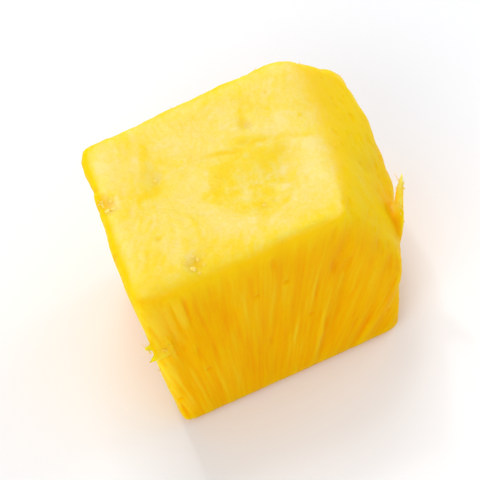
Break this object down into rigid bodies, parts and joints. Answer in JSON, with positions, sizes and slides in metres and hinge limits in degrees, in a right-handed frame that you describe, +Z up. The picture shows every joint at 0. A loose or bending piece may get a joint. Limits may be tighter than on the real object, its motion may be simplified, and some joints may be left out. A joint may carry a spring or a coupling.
{
  "type": "pineapple chunk",
  "caption": "Bite-sized block of peeled ripe pineapple with knife-cut faces, softened edges, a slanting corner facet and torn fibre ends.",
  "frame": {"origin": "centre of the chunk's box, on the surface that it rests on", "axes": "+Z up from the flat base to the side that lay under the peel, +X along the front edge of the top towards the slanting facet, +Y from the front face to the back face"},
  "size_m": [0.0388, 0.0264, 0.0254],
  "materials": {
    "pineapple_flesh": "wet ripe fruit flesh, strong yellow, slightly translucent, with a soft gloss of juice"
  },
  "bodies": {
    "root": {"pineapple_chunk": "pineapple_flesh"}
  },
  "joints": []
}
